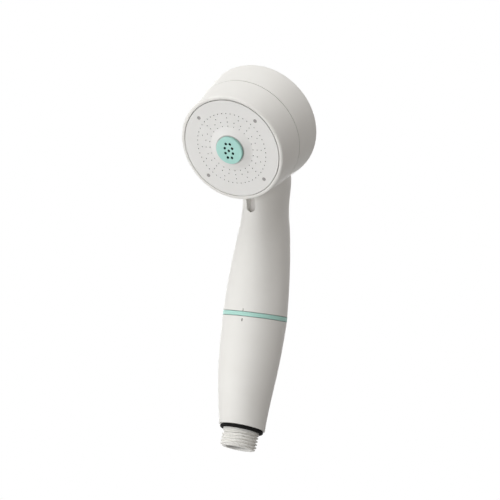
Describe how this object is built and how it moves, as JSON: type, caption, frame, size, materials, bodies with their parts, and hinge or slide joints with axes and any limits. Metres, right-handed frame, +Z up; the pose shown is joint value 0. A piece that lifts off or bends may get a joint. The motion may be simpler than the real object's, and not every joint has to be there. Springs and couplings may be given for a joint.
{
  "type": "handheld shower head",
  "caption": "Handheld shower head with a tilted round spray face, a coloured ring where its filter handle unscrews, and an angled threaded hose end.",
  "frame": {"origin": "where the hose thread's axis crosses the handle's axis, inside the hose end", "axes": "+Z up along the handle, the spray face looks forward and down towards -Y, +X to the right of someone who faces the spray plate from behind the object"},
  "size_m": [0.0694, 0.0892, 0.2164],
  "materials": {
    "white_shell": "satin white moulding",
    "white_plate": "smooth white moulding",
    "white_inner": "plain moulding",
    "mint": "satin moulding",
    "grey_inner": "plain moulding",
    "clear_case": "cloudy clear moulding",
    "black_rubber": "matt",
    "steel_mesh": "etched sheet",
    "filter_cloth": "non-woven cloth",
    "filter_fibre": "pressed fibre"
  },
  "bodies": {
    "lower_handle": {"lower_shell": "white_shell", "handle_collar": "white_inner", "joint_o_ring": "black_rubber", "hose_connector": "white_shell", "hose_o_ring": "black_rubber", "connector_o_ring": "black_rubber", "strainer_mesh": "steel_mesh", "strainer_frame": "white_inner", "cartridge_seat": "white_inner", "cartridge_case": "clear_case", "cartridge_bottom_cap": "white_inner", "cartridge_top_cap": "white_inner", "stem_o_rings": "black_rubber", "filter_sleeve": "filter_cloth", "filter_core": "filter_fibre"},
    "ring_carrier": {"accent_ring": "mint"},
    "upper_handle": {"head_shell": "white_shell", "head_collar": "white_inner", "cartridge_socket": "white_inner"},
    "spray_unit": {"spray_plate": "white_plate", "centre_nozzle": "mint", "nozzle_o_ring": "black_rubber", "distributor": "grey_inner", "plate_gasket": "black_rubber"},
    "head_ring": {"front_ring": "white_shell"}
  },
  "joints": [
    {"name": "ring_lift", "type": "slide", "parent": "lower_handle", "child": "ring_carrier", "axis": [0, 0, 1], "range_m": [0, 0.008]},
    {"name": "handle_screw", "type": "hinge", "parent": "ring_carrier", "child": "upper_handle", "pos_m": [0, 0, 0.068], "axis": [0, 0, 1], "range_deg": [0, 720]},
    {"name": "plate_lift", "type": "slide", "parent": "upper_handle", "child": "spray_unit", "axis": [0, -0.8358, -0.549], "range_m": [0, 0.006]},
    {"name": "head_ring_screw", "type": "hinge", "parent": "spray_unit", "child": "head_ring", "pos_m": [0, -0.0538, 0.1568], "axis": [0, -0.8358, -0.549], "range_deg": [0, 720]}
  ],
  "couplings": [
    {"joint": "handle_screw", "follows": "ring_lift", "rad_per_m": 1570.8},
    {"joint": "head_ring_screw", "follows": "plate_lift", "rad_per_m": 2094.4}
  ]
}
